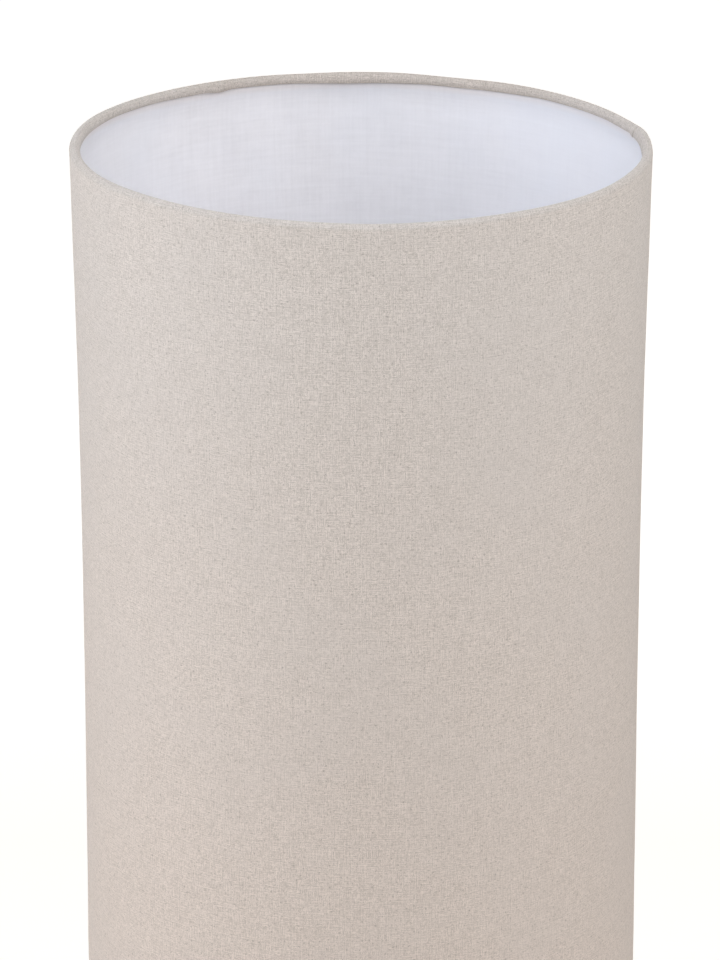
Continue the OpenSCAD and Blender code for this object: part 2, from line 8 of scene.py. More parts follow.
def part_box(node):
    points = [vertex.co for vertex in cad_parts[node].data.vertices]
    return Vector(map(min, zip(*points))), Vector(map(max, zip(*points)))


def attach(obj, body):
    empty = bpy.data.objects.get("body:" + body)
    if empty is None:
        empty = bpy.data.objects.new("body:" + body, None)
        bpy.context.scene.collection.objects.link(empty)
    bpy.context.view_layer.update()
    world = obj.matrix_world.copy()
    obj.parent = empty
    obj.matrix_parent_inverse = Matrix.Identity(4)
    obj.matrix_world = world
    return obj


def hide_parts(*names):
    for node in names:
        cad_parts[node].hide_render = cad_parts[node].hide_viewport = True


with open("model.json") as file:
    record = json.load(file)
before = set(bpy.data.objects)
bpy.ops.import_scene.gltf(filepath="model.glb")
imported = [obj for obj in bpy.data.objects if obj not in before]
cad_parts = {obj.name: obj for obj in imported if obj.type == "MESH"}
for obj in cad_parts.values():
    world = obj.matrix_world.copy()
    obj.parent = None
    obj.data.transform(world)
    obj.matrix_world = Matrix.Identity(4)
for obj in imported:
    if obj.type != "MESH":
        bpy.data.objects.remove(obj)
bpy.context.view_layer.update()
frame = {"nodes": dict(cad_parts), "record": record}
nodes = frame["nodes"]


print("stage: frame loaded")


# Camera, as in the photograph: eye level, well back, looking down a little
camera = {
    "distance": 1.9527,      # from the lamp's axis
    "aboveRim": 0.5319,
    "aside": -0.00048,
    "pitch": 19.33,          # degrees below level
    "focal": 4707.8,         # in pixels of the 720-pixel-wide picture
    "pictureWidth": 720,
    "sensor": 36.0,
    "seesTo": 60,            # metres
}


def addCamera(spec):
    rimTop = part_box("shade_fabric")[1].z
    place = (spec["aside"], -spec["distance"], rimTop + spec["aboveRim"])
    bpy.ops.object.camera_add(location=place, rotation=(math.radians(90 - spec["pitch"]), 0, 0))
    lens = bpy.context.object
    lens.name = "photoCamera"
    lens.data.sensor_fit = "HORIZONTAL"
    lens.data.sensor_width = spec["sensor"]
    lens.data.lens = spec["focal"] * spec["sensor"] / spec["pictureWidth"]
    lens.data.clip_end = spec["seesTo"]
    bpy.context.scene.camera = lens


addCamera(camera)
print("stage: camera")


shade = {
    "flare": 0.0018,          # how far the rims stand out from the straight wall
    "flareRun": 0.058,        # length in which that dies away by two thirds
    # further give of the wall, by depth below the upper rim
    "waist": [(0.0, 0.0), (0.04, 0.0002), (0.07, 0.0), (0.11, -0.0003), (0.165, -0.0004), (0.24, -0.0003),
              (0.315, 0.00015), (0.38, 0.0006), (0.46, 0.0003), (0.56, 0.0)],
    "turnIn": 180,            # degrees that the cloth goes round a hoop, before its edge hangs down inside
    "edgeDown": 0.0017,       # half height and half depth of the oval that the edge follows,
    "edgeBack": 0.0006,
    "edgeTurn": 50,           # and the degrees of it that the edge covers
    "edgeThin": 0.5,          # how much thinner the cloth is pressed at its raw edge
    "swell": 0.0001,          # slack of the turned cloth on the inner side
    "hem": 0.0002,            # how far the turned cloth sags,
    "hemDrift": 0.0003,       # how much that varies, and in how many degrees
    "hemWander": 9,
    "hemPart": 3.7,           # sets the upper rim's sag apart from the lower one's
    "hemStart": 95,           # the turn at which the sag begins, and the further turn in which it grows full
    "hemGrow": 75,
    "wireSlip": 0.00005,      # clearance between a wire and the cloth round it
    "rimTilt": 0.0059,        # the upper rim drops to the right by this slope
    "waviness": 0.00022,
    "wavesRound": 2.6,        # how close the waves are round the shade and up it
    "wavesUp": 7,
    "rollRows": 18,           # rows of mesh round the wire, down the hanging edge and up half the wall
    "edgeRows": 7,
    "wallRows": 30,
    "crowding": 1.9,          # how strongly the wall's rows gather towards the rims
    "cutMeasuredAt": 300,     # degrees, a place where the rim has no fault
    "sharpFrom": 40,          # degrees between faces from which an edge is shaded as sharp
}
# Small faults of the upper rim: where and how wide (degrees), how sharply they end, how far the rim lifts or
# is pushed out, how much its inner side swells and how far the turned cloth droops there
rimFaults = [
    {"angle": 122, "width": 2.2, "swell": 0.0004, "droop": 0.0008},
    {"angle": 92, "width": 9, "droop": 0.0010},
    {"angle": 213, "width": 3.0, "lift": -0.0002, "swell": 0.0003},
    {"angle": 168, "width": 20, "lift": 0.0008, "swell": 0.0003},
    {"angle": 225, "width": 18, "lift": 0.0004},
    {"angle": 275, "width": 14, "lift": -0.0004},
    {"angle": 342, "width": 15, "lift": 0.0009},
    {"angle": 9, "width": 6.5, "lift": 0.0012, "push": 0.0003},
    {"angle": 6, "width": 8.0, "sharp": 24, "droop": 0.0010, "swell": 0.0002},
    {"angle": 48, "width": 24, "droop": -0.0003},
    {"angle": 58, "width": 7, "droop": 0.0006},
    {"angle": 81, "width": 7, "droop": 0.0004},
    {"angle": 130, "width": 7, "droop": 0.0004},
    {"angle": 70, "width": 9, "lift": -0.0006},
    {"angle": 101, "width": 7, "lift": -0.0003},
]

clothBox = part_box("shade_fabric")
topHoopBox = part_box("top_hoop")
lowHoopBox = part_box("bottom_hoop")
rimRadius = clothBox[1].x
wireRadius = (topHoopBox[1].z - topHoopBox[0].z) / 2
hoopRadius = topHoopBox[1].x - wireRadius
topHoopZ = (topHoopBox[1].z + topHoopBox[0].z) / 2
lowHoopZ = (lowHoopBox[1].z + lowHoopBox[0].z) / 2


def soften(share):
    share = min(1, max(0, share))
    return share * share * (3 - 2 * share)


def waistAt(depth):
    for (upper, before), (lower, after) in zip(shade["waist"], shade["waist"][1:]):
        if depth <= lower:
            return before + (after - before) * soften((depth - upper) / (lower - upper))
    return 0.0


def wallRadius(z):
    top = math.exp(-(topHoopZ - z) / shade["flareRun"])
    low = math.exp(-(z - lowHoopZ) / shade["flareRun"])
    return rimRadius - shade["flare"] * (1 - top - low) + waistAt(topHoopZ - z)


def gap(angle, centre):
    return (angle - centre + 180) % 360 - 180


def turnOf(point):
    return math.degrees(math.atan2(point.y, point.x))


def aimed(angle, length=1.0):
    return Vector((math.cos(math.radians(angle)) * length, math.sin(math.radians(angle)) * length, 0))


def rimFault(angle, kind):
    return sum(f.get(kind, 0) * math.exp(-abs(gap(angle, f["angle"]) / f["width"]) ** f.get("sharp", 2))
               for f in rimFaults)


# Moves a point of the shade by the rim's tilt, its small faults and the cloth's slight waviness
def settle(point, angle, nearTop):
    lift = (rimFault(angle, "lift") - shade["rimTilt"] * point.x) * nearTop
    spot = aimed(angle, shade["wavesRound"]) + Vector((0, 0, point.z * shade["wavesUp"]))
    wave = shade["waviness"] * noise.noise(spot) + rimFault(angle, "push") * nearTop
    return point + aimed(angle) * wave + Vector((0, 0, lift))


# Places a point of the turned cloth: round the wire, then down inside it and a little back towards the wall.
# A row's turn is in degrees, above zero at the upper rim and below zero at the lower one.
def onRoll(row, angle, raised):
    z, radius, roll, turn = row[:4]
    if not roll:
        return radius + raised, z
    side = math.copysign(1, turn)
    bend = math.radians(min(abs(turn), shade["turnIn"]))
    fall = math.radians(max(0, abs(turn) - shade["turnIn"]))
    faults = max(0, side)
    slack = roll + raised + (shade["swell"] + rimFault(angle, "swell") * faults) * max(0, -math.cos(bend))
    spot = Vector((angle / shade["hemWander"], shade["hemPart"] * faults, 0))
    drift = shade["hemDrift"] * noise.noise(spot)
    sagging = soften((abs(turn) - shade["hemStart"]) / shade["hemGrow"])
    hang = (shade["hem"] + drift + rimFault(angle, "droop") * faults) * sagging
    rise = slack * math.sin(bend) - hang - shade["edgeDown"] * math.sin(fall)
    return radius + slack * math.cos(bend) + shade["edgeBack"] * (1 - math.cos(fall)), z + side * rise


# Rows of the wall between two heights: height, radius, roll, turn, share of the top
def wallRows(low, high, inset, lean):
    rows = []
    steps = shade["wallRows"]
    for i in range(-steps, steps + 1):
        share = i / steps
        eased = math.copysign(1 - (1 - abs(share)) ** shade["crowding"], share)
        z = (high + low) / 2 + (high - low) / 2 * eased
        leaned = lean * math.exp(-(min(high - z, z - low) / liner["leanRun"]) ** 2)
        nearTop = math.exp(-(topHoopZ - z) / shade["flareRun"])
        rows.append((z, wallRadius(z) - inset - leaned, 0.0, 0.0, nearTop))
    return rows


# Rows of the cloth from its lower tucked edge to its upper one
def coverRows(roll):
    rollRows, edgeRows = shade["rollRows"], shade["edgeRows"]
    turns = [shade["turnIn"] * i / rollRows for i in range(1, rollRows + 1)]
    turns += [shade["turnIn"] + shade["edgeTurn"] * i / edgeRows for i in range(1, edgeRows + 1)]
    lower = [(lowHoopZ, hoopRadius, roll, -turn, 0.0) for turn in reversed(turns)]
    upper = [(topHoopZ, hoopRadius, roll, turn, 1.0) for turn in turns]
    return lower + wallRows(lowHoopZ, topHoopZ, 0.0, 0.0) + upper


# Rows of the lining, which ends just short of the wires
def liningRows():
    edge = wireRadius + shade["wireSlip"] + liner["shortOfWire"]
    return wallRows(lowHoopZ + edge, topHoopZ - edge, cover["thickness"] + liner["bond"], liner["lean"])


# Distances along the sheet, row by row
def stepsAlong(rows):
    along = [0.0]
    places = [onRoll(row, shade["cutMeasuredAt"], 0.0) for row in rows]
    for before, after in zip(places, places[1:]):
        along.append(along[-1] + math.dist(before, after))
    return along


# The cloth: one sheet lapped at the seam, where both layers are pressed thinner
cover = {
    "thickness": 0.0007,
    "seamAngle": 19,          # degrees from the viewer's right towards the rear
    "overlap": 0.015,
    "ramp": 0.003,            # in which a lapped end eases away
    "pressed": 0.45,          # share of the thickness left in the lap
    "under": -0.00027,        # how far the inner end sinks and the outer end stands out
    "over": 0.00010,
    "columns": 400,
}
# The lining: stiff sheet bonded inside the cloth, its own lap turned to the front
liner = {
    "thickness": 0.00055,
    "bond": 0.0001,
    "seamAngle": 262,
    "overlap": 0.012,
    "ramp": 0.003,
    "pressed": 0.48,
    "under": 0.0,
    "over": -0.00030,
    "columns": 300,
    "shortOfWire": 0.00015,
    "lean": 0.0019,           # how far its edges bend in towards the turned cloth, and over what length
    "leanRun": 0.0042,
}

coverSteps = coverRows(wireRadius + shade["wireSlip"] + cover["thickness"])
clothLength = stepsAlong(coverSteps)[-1]
rollLength = (clothLength - topHoopZ + lowHoopZ) / 2
liningSteps = liningRows()
liningLength = stepsAlong(liningSteps)[-1]


class Tree:
    # Adds nodes to a material or a node group and joins them by socket
    def __init__(self, nodeTree):
        self.tree = nodeTree
        self.column = 0

    def add(self, kind, inputs=None, **settings):
        node = self.tree.nodes.new(kind)
        node.location = (self.column, 0)
        self.column += 180
        for name, value in settings.items():
            setattr(node, name, value)
        for name, value in (inputs or {}).items():
            self.feed(node.inputs[name], value)
        return node

    def feed(self, socket, value):
        if isinstance(value, bpy.types.NodeSocket):
            self.tree.links.new(value, socket)
        else:
            socket.default_value = value

    def math(self, operation, first, second=0.0):
        return self.add("ShaderNodeMath", {0: first, 1: second}, operation=operation).outputs[0]

    def mix(self, factor, first, second, blend="MIX"):
        node = self.add("ShaderNodeMix", data_type="RGBA", blend_type=blend)
        self.feed(node.inputs[0], factor)
        self.feed(node.inputs[6], first)
        self.feed(node.inputs[7], second)
        return node.outputs[2]

    # Maps low..high to toLow..toHigh and holds it there beyond both ends
    def spread(self, value, low=0.0, high=1.0, toLow=0.0, toHigh=1.0):
        return self.add("ShaderNodeMapRange", {0: value, 1: low, 2: high, 3: toLow, 4: toHigh}).outputs[0]

    # How far a value between nothing and the whole length is from the nearer end
    def fromEnds(self, value, length):
        fromMiddle = self.math("ABSOLUTE", self.math("SUBTRACT", value, length / 2))
        return self.math("SUBTRACT", length / 2, fromMiddle)

    def noise(self, vector, scale, detail=2.0, rough=0.5, dims="3D"):
        node = self.add("ShaderNodeTexNoise", {"Vector": vector, "Scale": scale, "Detail": detail,
                                               "Roughness": rough}, noise_dimensions=dims)
        return node.outputs[0]

    # Noise drawn out into lines: how often a metre it varies sideways and upwards
    def lines(self, vector, sideways, upwards, detail):
        drawn = self.add("ShaderNodeMapping", {"Vector": vector, "Scale": (sideways, upwards, 1.0)})
        return self.noise(drawn.outputs[0], 1.0, detail, dims="2D")

    # A fixed random value for each whole-number place
    def dice(self, x, y):
        place = self.point(x, y)
        return self.add("ShaderNodeTexWhiteNoise", {"Vector": place}, noise_dimensions="2D").outputs[0]

    def point(self, x, y, z=0.0):
        return self.add("ShaderNodeCombineXYZ", {0: x, 1: y, 2: z}).outputs[0]

    def wave(self, value, pitch):
        return self.math("SINE", self.math("MULTIPLY", self.math("DIVIDE", value, pitch), 2 * math.pi))

    def bump(self, shader, height, strength, distance):
        node = self.add("ShaderNodeBump", {"Strength": strength, "Distance": distance, "Height": height})
        self.feed(shader["Normal"], node.outputs[0])


def newGroup(name, inputs, outputs):
    tree = bpy.data.node_groups.new(name, "ShaderNodeTree")
    for title, kind, value in inputs:
        socket = tree.interface.new_socket(title, in_out="INPUT", socket_type=kind)
        if value is not None:
            socket.default_value = value
    for title, kind in outputs:
        tree.interface.new_socket(title, in_out="OUTPUT", socket_type=kind)
    maker = Tree(tree)
    return maker, maker.add("NodeGroupInput").outputs, maker.add("NodeGroupOutput").inputs


# Plain weave on a flat cut: every crossing, every short length of yarn and every patch has its own tone.
# A scale is how often a metre the noise varies.
weaving = {
    "bendScale": 70.0,
    "bend": 0.0024,              # how far the yarns wander
    "patchScale": 120.0,
    "patchDetail": 5.0,
    "patchRough": 0.66,
    "yarnShare": 0.42,           # of the tone, beside the single crossing's
    "crossingShare": 0.58,
    "threadScale": 2300.0,       # across the threads, and along them
    "threadRun": 260.0,
    "threadDetail": 1.0,
    "zoneScale": 260.0,          # patches where upright or level threads show more
    "zoneDetail": 1.0,
    "zoneFrom": (0.42, 0.58),
    "fineRib": 2.2,
    "crossingRelief": 0.5,
    "fleckScale": 900.0,
    "fleckDetail": 2.0,
    "fleckRough": 0.6,
    "fleckFrom": (0.60, 0.69),
}


def weaveGroup(spec):
    maker, given, out = newGroup("plainWeave", [
        ("Vector", "NodeSocketVector", None),
        ("Pitch", "NodeSocketFloat", 0.0006),
        ("Length", "NodeSocketFloat", 4.0),
        ("Thread", "NodeSocketFloat", 0.9),
        ("Drift", "NodeSocketFloat", 0.6),
        ("Rib", "NodeSocketFloat", 0.0),
        ("RibPitch", "NodeSocketFloat", 0.0014),
        ("ThreadPitch", "NodeSocketFloat", 0.0009),
    ], [("Tone", "NodeSocketFloat"), ("Height", "NodeSocketFloat"), ("Fleck", "NodeSocketFloat")])
    centred = maker.math("SUBTRACT", maker.noise(given["Vector"], spec["bendScale"]), 0.5)
    wobble = maker.math("MULTIPLY", centred, spec["bend"])
    axes = maker.add("ShaderNodeSeparateXYZ", {0: given["Vector"]}).outputs
    moved = [maker.math("ADD", axes[side], wobble) for side in (0, 1)]
    across, along = (maker.math("DIVIDE", run, given["Pitch"]) for run in moved)
    warp = maker.math("FLOOR", across)
    weft = maker.math("FLOOR", along)
    over = maker.math("ABSOLUTE", maker.math("MODULO", maker.math("ADD", warp, weft), 2.0))
    under = maker.math("SUBTRACT", 1.0, over)
    rise = []
    tone = []
    for own, position, run in ((warp, across, along), (weft, along, across)):
        within = maker.math("MULTIPLY", maker.math("SUBTRACT", position, own), math.pi)
        rise.append(maker.math("SINE", within))
        stagger = maker.add("ShaderNodeTexWhiteNoise", {"W": own}, noise_dimensions="1D").outputs[0]
        piece = maker.math("FLOOR", maker.math("ADD", maker.math("DIVIDE", run, given["Length"]), stagger))
        tone.append(maker.dice(own, piece))
    top = maker.math("ADD", maker.math("MULTIPLY", tone[0], over), maker.math("MULTIPLY", tone[1], under))
    height = maker.math("ADD", maker.math("MULTIPLY", rise[0], over), maker.math("MULTIPLY", rise[1], under))
    crossing = maker.dice(warp, weft)
    mixed = maker.math("ADD", maker.math("MULTIPLY", top, spec["yarnShare"]),
                       maker.math("MULTIPLY", crossing, spec["crossingShare"]))
    clouds = maker.noise(given["Vector"], spec["patchScale"], spec["patchDetail"], spec["patchRough"])
    patch = maker.math("MULTIPLY", maker.math("SUBTRACT", clouds, 0.5), given["Drift"])
    zones = maker.noise(given["Vector"], spec["zoneScale"], spec["zoneDetail"])
    uprightZone = maker.spread(zones, *spec["zoneFrom"])
    levelZone = maker.math("SUBTRACT", 1.0, uprightZone)
    threads = []
    ribs = []
    for run, zone, scales in ((moved[0], uprightZone, (spec["threadScale"], spec["threadRun"])),
                              (moved[1], levelZone, (spec["threadRun"], spec["threadScale"]))):
        lines = maker.lines(given["Vector"], *scales, spec["threadDetail"])
        lines = maker.math("SUBTRACT", lines, 0.5)
        threads.append(maker.math("MULTIPLY", lines, zone))
        fine = maker.math("MULTIPLY", maker.wave(run, given["ThreadPitch"]), zone)
        fine = maker.math("MULTIPLY", fine, spec["fineRib"])
        ribs.append(maker.math("ADD", maker.wave(run, given["RibPitch"]), fine))
    thread = maker.math("MULTIPLY", maker.math("ADD", *threads), given["Thread"])
    rib = maker.math("MULTIPLY", maker.math("ADD", *ribs), given["Rib"])
    whole = maker.math("ADD", maker.math("ADD", mixed, thread), patch)
    maker.feed(out["Tone"], maker.math("ADD", whole, rib))
    relief = maker.math("MULTIPLY", crossing, spec["crossingRelief"])
    maker.feed(out["Height"], maker.math("ADD", height, relief))
    specks = maker.noise(given["Vector"], spec["fleckScale"], spec["fleckDetail"], spec["fleckRough"])
    maker.feed(out["Fleck"], maker.spread(specks, *spec["fleckFrom"]))
    return maker.tree


# Fine unevenness of a moulded, coated or cast surface
grain = {
    "reliefDetail": 3.0,
    "mottleScale": 22.0,
    "mottleDetail": 4.0,
    "rough": 0.6,
    "wearScale": 140.0,
    "wearDetail": 5.0,
    "wearRough": 0.7,
    "wearFrom": (0.45, 0.75),
}


def grainGroup(spec):
    maker, given, out = newGroup("surfaceGrain", [
        ("Vector", "NodeSocketVector", None),
        ("Scale", "NodeSocketFloat", 900.0),
        ("Soil", "NodeSocketFloat", 0.3),
    ], [("Height", "NodeSocketFloat"), ("Mottle", "NodeSocketFloat"), ("Wear", "NodeSocketFloat")])
    relief = maker.noise(given["Vector"], given["Scale"], spec["reliefDetail"], spec["rough"])
    maker.feed(out["Height"], relief)
    mottle = maker.noise(given["Vector"], spec["mottleScale"], spec["mottleDetail"], spec["rough"])
    maker.feed(out["Mottle"], mottle)
    worn = maker.noise(given["Vector"], spec["wearScale"], spec["wearDetail"], spec["wearRough"])
    maker.feed(out["Wear"], maker.math("MULTIPLY", maker.spread(worn, *spec["wearFrom"]), given["Soil"]))
    return maker.tree


# Turned or brushed metal: fine rings round the upright axis
rings = {
    "fineScale": 5200.0,
    "turnScale": 3.0,
    "detail": 3.0,
    "fineRough": 0.7,
    "broadScale": 30.0,
    "broadRough": 0.6,
}


def brushGroup(spec):
    maker, given, out = newGroup("turnedGrain", [
        ("Vector", "NodeSocketVector", None),
        ("Fineness", "NodeSocketFloat", 1.0),
    ], [("Height", "NodeSocketFloat"), ("Tone", "NodeSocketFloat")])
    axes = maker.add("ShaderNodeSeparateXYZ", {0: given["Vector"]}).outputs
    flat = maker.point(axes[0], axes[1])
    radius = maker.add("ShaderNodeVectorMath", {0: flat}, operation="LENGTH").outputs[1]
    turn = maker.math("ARCTAN2", axes[1], axes[0])
    spot = maker.point(maker.math("MULTIPLY", radius, spec["fineScale"]),
                       maker.math("MULTIPLY", axes[2], spec["fineScale"]),
                       maker.math("MULTIPLY", turn, spec["turnScale"]))
    fine = maker.noise(spot, given["Fineness"], spec["detail"], spec["fineRough"])
    broad = maker.noise(given["Vector"], spec["broadScale"], spec["detail"], spec["broadRough"])
    maker.feed(out["Height"], fine)
    halves = [maker.math("MULTIPLY", part, 0.5) for part in (fine, broad)]
    maker.feed(out["Tone"], maker.math("ADD", *halves))
    return maker.tree


weaveTree = weaveGroup(weaving)
grainTree = grainGroup(grain)
brushTree = brushGroup(rings)


def startMaterial(name):
    material = bpy.data.materials.new(name)
    material.use_nodes = True
    material.node_tree.nodes.clear()
    maker = Tree(material.node_tree)
    shader = maker.add("ShaderNodeBsdfPrincipled")
    output = maker.add("ShaderNodeOutputMaterial")
    maker.feed(output.inputs["Surface"], shader.outputs[0])
    coords = maker.add("ShaderNodeTexCoord").outputs
    return material, maker, shader.inputs, coords


def useGroup(maker, tree, **inputs):
    node = maker.add("ShaderNodeGroup", node_tree=tree)
    for name, value in inputs.items():
        maker.feed(node.inputs[name], value)
    return node.outputs


# Oatmeal linen-look cloth: pale and deeper yarn, a few dark fibres and soft cool and warm areas, with
# painted light and shade on the turned edges and a painted warmer tint away from the rims
linen = {
    "pitch": 0.00043,
    "yarnLength": 4.0,                         # crossings before a yarn changes tone
    "thread": 1.0,
    "drift": 0.36,
    "rib": 0.07,
    "ribPitch": 0.00138,
    "threadPitch": 0.00087,
    "pale": (0.801, 0.738, 0.694, 1),
    "deep": (0.547, 0.500, 0.462, 1),
    "cool": (0.656, 0.614, 0.585, 1),
    "coolScale": 14.0,
    "coolDetail": 3.0,
    "coolRough": 0.55,
    "coolFrom": (0.42, 0.70),
    "coolShare": 0.35,
    "fleck": (0.300, 0.264, 0.236, 1),
    "fleckShare": 0.56,
    "paintedWarmTint": (1.042, 0.992, 0.958, 1),       # painted light: the cloth tinted warmer away from the rims
    "paintedWarmReach": (0.05, 0.35),
    # the turned cloth's zones: where each begins and is full, in shares of its length from the raw edge
    "rollZones": [
        {"reach": (1.05, 0.90), "tint": (0.900, 0.909, 0.911, 1)},     # the rolled edge, greyer and darker: partly its own cast, partly painted shade
        {"reach": (0.60, 0.22), "tint": (0.98, 0.97, 0.96, 1)},        # its inner side, with painted shade
        # a stretch at the rear darkened with painted shade under the roll: its middle in metres round the
        # rim, and how it fades to each side
        {"reach": (0.88, 0.50), "tint": (0.92, 0.90, 0.88, 1), "middle": 0.635, "fade": (0.12, 0.07)},
        {"reach": (0.14, 0.04), "tint": (1.02, 1.0, 0.975, 1)},        # the raw edge, paler: painted light against the shade under the roll
    ],
    "roughness": 0.92,
    "sheen": 0.2,
    "sheenRoughness": 0.35,
    "specular": 0.2,
    "bumpStrength": 0.6,
    "bump": 0.00010,
}


def linenMaterial(spec):
    material, maker, shader, coords = startMaterial("linenCloth")
    weave = useGroup(maker, weaveTree, Vector=coords["UV"], Pitch=spec["pitch"], Length=spec["yarnLength"],
                     Thread=spec["thread"], Drift=spec["drift"], Rib=spec["rib"], RibPitch=spec["ribPitch"],
                     ThreadPitch=spec["threadPitch"])
    cloth = maker.mix(maker.spread(weave["Tone"]), spec["deep"], spec["pale"])
    cloud = maker.noise(coords["UV"], spec["coolScale"], spec["coolDetail"], spec["coolRough"])
    cloth = maker.mix(maker.spread(cloud, *spec["coolFrom"], 0.0, spec["coolShare"]), cloth, spec["cool"])
    cloth = maker.mix(maker.math("MULTIPLY", weave["Fleck"], spec["fleckShare"]), cloth, spec["fleck"])
    flat = maker.add("ShaderNodeSeparateXYZ", {0: coords["UV"]}).outputs
    toEdge = maker.fromEnds(flat[1], clothLength)
    # Painted light: the cloth turns warmer away from the rims
    cloth = maker.mix(maker.spread(toEdge, *spec["paintedWarmReach"]), cloth, spec["paintedWarmTint"], "MULTIPLY")
    # The turned cloth's zones: the roll's tint, and painted shade and painted light on its inner side, rear
    # stretch and raw edge
    for zone in spec["rollZones"]:
        share = maker.spread(toEdge, *(rollLength * part for part in zone["reach"]))
        if "middle" in zone:
            aside = maker.math("ABSOLUTE", maker.math("SUBTRACT", flat[0], zone["middle"]))
            share = maker.math("MULTIPLY", share, maker.spread(aside, *zone["fade"]))
        cloth = maker.mix(share, cloth, zone["tint"], "MULTIPLY")
    maker.feed(shader["Base Color"], cloth)
    maker.feed(shader["Roughness"], spec["roughness"])
    maker.feed(shader["Sheen Weight"], spec["sheen"])
    maker.feed(shader["Sheen Roughness"], spec["sheenRoughness"])
    maker.feed(shader["Specular IOR Level"], spec["specular"])
    maker.bump(shader, weave["Height"], spec["bumpStrength"], spec["bump"])
    return material


# Stiff white lining, with the cloth's weave and slubs showing faintly through it; painted light makes it
# cooler towards the right and warmer at its edges
lining = {
    "white": (0.922, 0.908, 0.933, 1),
    "shade": (0.838, 0.824, 0.847, 1),
    "pitch": 0.0016,
    "yarnLength": 8.0,
    "thread": 0.8,
    "drift": 0.9,
    "weaveShare": 0.17,
    "cloudScale": 34.0,
    "cloudDetail": 4.0,
    "cloudRough": 0.62,
    "cloudFrom": (0.34, 0.66),
    "cloudShare": (0.13, 0.70),
    "slub": (42.0, 620.0),                 # how often a metre the slubs vary, along and across them
    "slubDetail": 2.0,
    "slubShare": 0.8,
    "blue": (0.846, 0.866, 0.925, 1),      # of the cooler patches
    "blueScale": 11.0,
    "blueDetail": 3.0,
    "blueFrom": (0.40, 0.62),
    "patchShare": 0.4,
    "paintedCoolSide": (-0.02, 0.13),             # painted light: across the lamp from here to here the film turns cooler
    "paintedCoolShare": 0.6,
    "paintedBounceTint": (1.0, 0.965, 0.93, 1),     # of the film's edges, warmed: painted light reflected from the cloth, in the shade under the rolls
    "paintedBounceReach": (0.0040, 0.0015),
    "glossFrom": (0.3, 0.7),
    "roughness": (0.5, 0.6),
    "specular": 0.35,
    "bumpStrength": 0.25,
    "bump": 0.00005,
}


def liningMaterial(spec):
    material, maker, shader, coords = startMaterial("liningFilm")
    weave = useGroup(maker, weaveTree, Vector=coords["UV"], Pitch=spec["pitch"], Length=spec["yarnLength"],
                     Thread=spec["thread"], Drift=spec["drift"])
    cloud = maker.noise(coords["UV"], spec["cloudScale"], spec["cloudDetail"], spec["cloudRough"])
    tone = maker.math("ADD", maker.math("MULTIPLY", maker.spread(weave["Tone"]), spec["weaveShare"]),
                      maker.spread(cloud, *spec["cloudFrom"], *spec["cloudShare"]))
    for run in (spec["slub"], reversed(spec["slub"])):
        lines = maker.math("SUBTRACT", maker.lines(coords["UV"], *run, spec["slubDetail"]), 0.5)
        tone = maker.math("ADD", tone, maker.math("MULTIPLY", lines, spec["slubShare"]))
    film = maker.mix(tone, spec["shade"], spec["white"])
    patches = maker.noise(coords["UV"], spec["blueScale"], spec["blueDetail"])
    # Random cool patches, and painted light: the film cooler towards the lamp's right
    across = maker.add("ShaderNodeSeparateXYZ", {0: coords["Object"]}).outputs[0]
    cool = maker.math("ADD", maker.spread(patches, *spec["blueFrom"], 0.0, spec["patchShare"]),
                      maker.spread(across, *spec["paintedCoolSide"], 0.0, spec["paintedCoolShare"]))
    film = maker.mix(cool, film, spec["blue"])
    toEdge = maker.fromEnds(maker.add("ShaderNodeSeparateXYZ", {0: coords["UV"]}).outputs[1], liningLength)
    # Painted reflected light: the film warmer near its edges, under the rolls
    film = maker.mix(maker.spread(toEdge, *spec["paintedBounceReach"]), film, spec["paintedBounceTint"], "MULTIPLY")
    maker.feed(shader["Base Color"], film)
    maker.feed(shader["Roughness"], maker.spread(cloud, *spec["glossFrom"], *spec["roughness"]))
    maker.feed(shader["Specular IOR Level"], spec["specular"])
    maker.bump(shader, weave["Height"], spec["bumpStrength"], spec["bump"])
    return material


